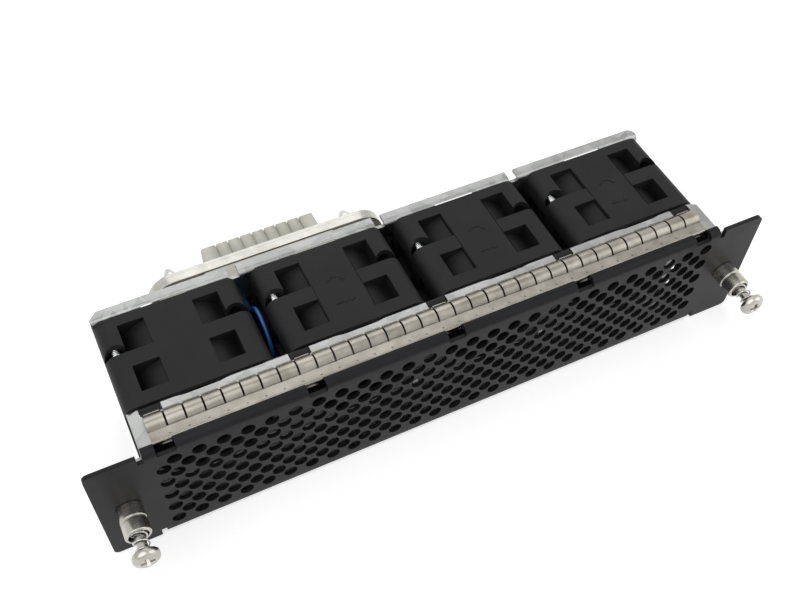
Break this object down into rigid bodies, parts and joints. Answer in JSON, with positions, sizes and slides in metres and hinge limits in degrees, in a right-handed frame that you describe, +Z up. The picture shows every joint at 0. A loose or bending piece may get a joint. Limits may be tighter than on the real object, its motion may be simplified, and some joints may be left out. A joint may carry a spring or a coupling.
{
  "type": "switch fan tray",
  "caption": "Plug-in fan tray for a network switch: perforated faceplate with captive screws, axial fans in a sheet-metal frame, a finger gasket and a rear blind-mate connector.",
  "frame": {"origin": "middle of the whole tray's box, on the plane of the pan's underside", "axes": "+X along the faceplate to its right end seen from the front, +Y from the faceplate towards the connector, +Z up"},
  "size_m": [0.1912, 0.0812, 0.0408],
  "materials": {
    "plate_paint": "black powder coat",
    "nickel": "dull nickel plate",
    "galvanised": "galvanised",
    "fan_plastic": "fine moulded texture",
    "rotor_plastic": "satin moulded",
    "bearing_brass": "sintered",
    "stator_steel": "lacquered",
    "bright_steel": "zinc plate",
    "screw_nickel": "nickel plate",
    "spring_steel": "drawn wire",
    "connector_plastic": "glass-filled cream",
    "shell_metal": "tin plate",
    "contact_gold": "gold flash",
    "lead_blue": "soft insulation"
  },
  "bodies": {
    "tray": {"faceplate": "plate_paint", "emi_gasket": "nickel", "front_frame": "galvanised", "tray_pan": "galvanised", "fan_bolts": "bright_steel", "fan_housing_1": "fan_plastic", "fan_housing_2": "fan_plastic", "fan_housing_3": "fan_plastic", "fan_housing_4": "fan_plastic", "fan_bearing_1": "bearing_brass", "fan_bearing_2": "bearing_brass", "fan_bearing_3": "bearing_brass", "fan_bearing_4": "bearing_brass", "fan_stator_1": "stator_steel", "fan_stator_2": "stator_steel", "fan_stator_3": "stator_steel", "fan_stator_4": "stator_steel", "captive_sleeve_left": "screw_nickel", "captive_sleeve_right": "screw_nickel", "captive_spring_left": "spring_steel", "captive_spring_right": "spring_steel", "connector_body": "connector_plastic", "connector_shell": "shell_metal", "connector_contacts": "contact_gold", "connector_posts": "bright_steel", "connector_screws": "bright_steel", "fan_lead_blue": "lead_blue"},
    "rotor_1": {"fan_rotor_1": "rotor_plastic"},
    "rotor_2": {"fan_rotor_2": "rotor_plastic"},
    "rotor_3": {"fan_rotor_3": "rotor_plastic"},
    "rotor_4": {"fan_rotor_4": "rotor_plastic"},
    "carrier_left": {"captive_ring_left": "spring_steel"},
    "screw_left": {"captive_screw_left": "screw_nickel"},
    "carrier_right": {"captive_ring_right": "spring_steel"},
    "screw_right": {"captive_screw_right": "screw_nickel"}
  },
  "joints": [
    {"name": "rotor_1_spin", "type": "hinge", "parent": "tray", "child": "rotor_1", "pos_m": [-0.063, -0.0116, 0.02], "axis": [0, 1, 0], "continuous": true},
    {"name": "rotor_2_spin", "type": "hinge", "parent": "tray", "child": "rotor_2", "pos_m": [-0.021, -0.0116, 0.02], "axis": [0, 1, 0], "continuous": true},
    {"name": "rotor_3_spin", "type": "hinge", "parent": "tray", "child": "rotor_3", "pos_m": [0.021, -0.0116, 0.02], "axis": [0, 1, 0], "continuous": true},
    {"name": "rotor_4_spin", "type": "hinge", "parent": "tray", "child": "rotor_4", "pos_m": [0.063, -0.0116, 0.02], "axis": [0, 1, 0], "continuous": true},
    {"name": "screw_left_push", "type": "slide", "parent": "tray", "child": "carrier_left", "axis": [0, 1, 0], "range_m": [0, 0.0046], "stiffness_N_per_m": 300, "springref_m": -0.002, "deforming": ["captive_spring_left"]},
    {"name": "screw_left_turn", "type": "hinge", "parent": "carrier_left", "child": "screw_left", "pos_m": [-0.0883, -0.0254, 0.0198], "axis": [0, 1, 0], "continuous": true},
    {"name": "screw_right_push", "type": "slide", "parent": "tray", "child": "carrier_right", "axis": [0, 1, 0], "range_m": [0, 0.0046], "stiffness_N_per_m": 300, "springref_m": -0.002, "deforming": ["captive_spring_right"]},
    {"name": "screw_right_turn", "type": "hinge", "parent": "carrier_right", "child": "screw_right", "pos_m": [0.0883, -0.0254, 0.0198], "axis": [0, 1, 0], "continuous": true}
  ]
}
